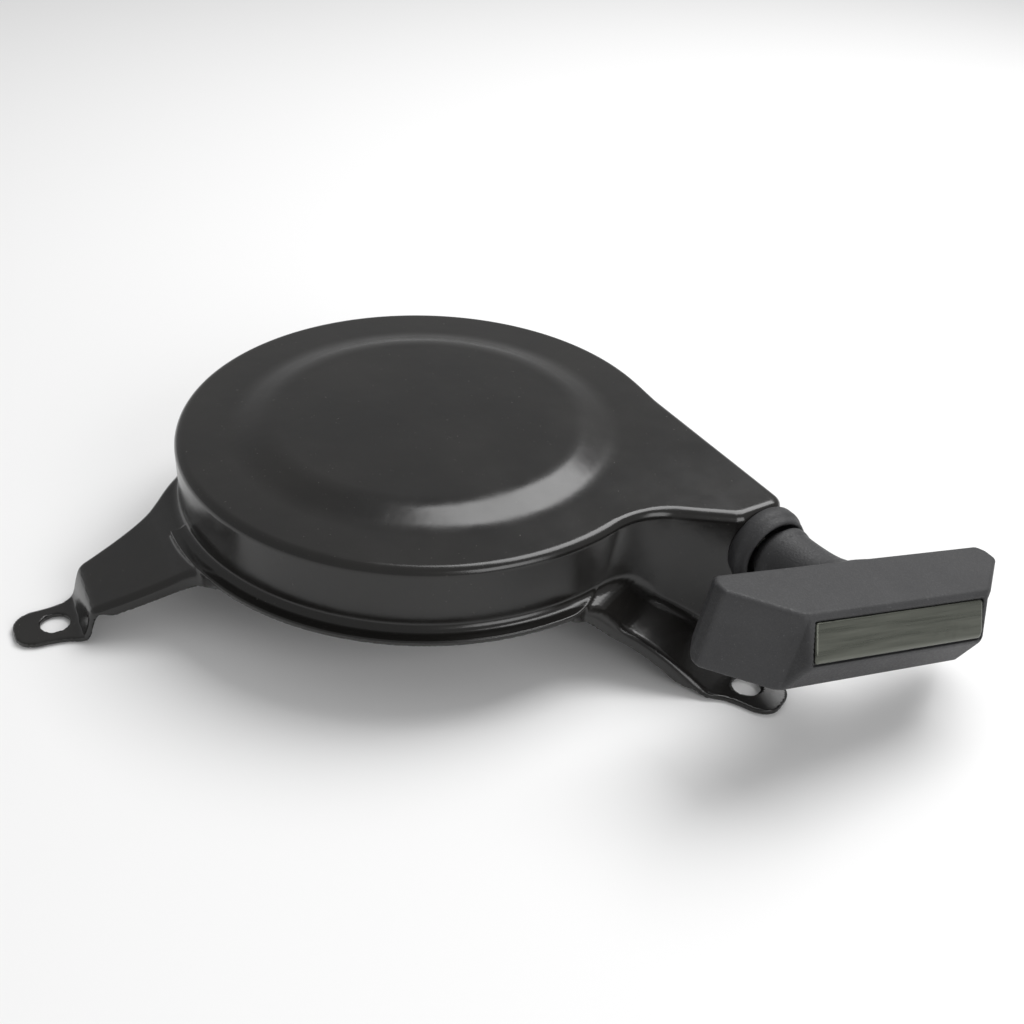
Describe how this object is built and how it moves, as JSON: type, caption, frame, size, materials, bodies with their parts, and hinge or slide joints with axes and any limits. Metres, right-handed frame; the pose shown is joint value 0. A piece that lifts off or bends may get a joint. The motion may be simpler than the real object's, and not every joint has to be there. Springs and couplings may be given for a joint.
{
  "type": "recoil starter",
  "caption": "Recoil starter for a small engine: black pressed steel housing on three legs, rope reel with pawls and recoil spring inside, and a black T grip on the rope.",
  "frame": {"origin": "centre of the circle through the three foot holes, on the plane of the feet's undersides", "axes": "+Z along the reel's axis, from the engine towards the outer face; +X is the way the rope is pulled; the rope leaves on the +Y side of the reel's axis"},
  "size_m": [0.2381, 0.2334, 0.0528],
  "materials": {
    "housing_paint": "gloss",
    "black_plastic": "fine texture",
    "cap_plate": "satin, blank",
    "reel_plastic": "satin",
    "zinc_steel": "zinc plated",
    "spring_steel": "oiled",
    "pawl_steel": "tumbled",
    "bronze": "sintered",
    "rope_nylon": "braided"
  },
  "bodies": {
    "housing": {"starter_housing": "housing_paint", "centre_post": "zinc_steel", "spring_cup": "spring_steel", "recoil_spring": "spring_steel", "rope_guide": "black_plastic", "thrust_washer": "bronze", "friction_spring": "spring_steel", "end_washer": "zinc_steel", "centre_screw": "zinc_steel"},
    "reel": {"rope_reel": "reel_plastic", "reel_bush": "bronze", "rope_winding": "rope_nylon", "rope_knot_reel": "rope_nylon", "pawl_pins": "zinc_steel", "pawl_spring_a": "spring_steel", "pawl_spring_b": "spring_steel"},
    "pawl_a": {"pawl_a": "pawl_steel"},
    "pawl_b": {"pawl_b": "pawl_steel"},
    "plate": {"friction_plate": "zinc_steel"},
    "grip": {"rope_lead": "rope_nylon", "grip_body": "black_plastic", "grip_cap": "cap_plate", "rope_washer": "zinc_steel", "rope_knot_grip": "rope_nylon"}
  },
  "joints": [
    {"name": "handle_pull", "type": "slide", "parent": "housing", "child": "grip", "axis": [1, 0, 0], "range_m": [0, 0.8], "deforming": ["rope_lead"]},
    {"name": "reel_spin", "type": "hinge", "parent": "housing", "child": "reel", "pos_m": [0, 0, 0.032], "axis": [0, 0, 1], "range_deg": [-810, 0], "stiffness_Nm_per_rad": 0.006, "springref_deg": 1145.92, "deforming": ["recoil_spring"]},
    {"name": "plate_turn", "type": "hinge", "parent": "reel", "child": "plate", "pos_m": [0, 0, 0.0185], "axis": [0, 0, 1], "range_deg": [0, 30]},
    {"name": "pawl_a_swing", "type": "hinge", "parent": "reel", "child": "pawl_a", "pos_m": [0.024, 0, 0.0233], "axis": [0, 0, 1], "range_deg": [0, 25.5], "deforming": ["pawl_spring_a"]},
    {"name": "pawl_b_swing", "type": "hinge", "parent": "reel", "child": "pawl_b", "pos_m": [-0.024, 0, 0.0233], "axis": [0, 0, 1], "range_deg": [0, 25.5], "deforming": ["pawl_spring_b"]}
  ],
  "couplings": [
    {"joint": "reel_spin", "follows": "handle_pull", "rad_per_m": -17.6},
    {"joint": "pawl_a_swing", "follows": "plate_turn", "ratio": 0.8333},
    {"joint": "pawl_b_swing", "follows": "plate_turn", "ratio": 0.8333}
  ]
}
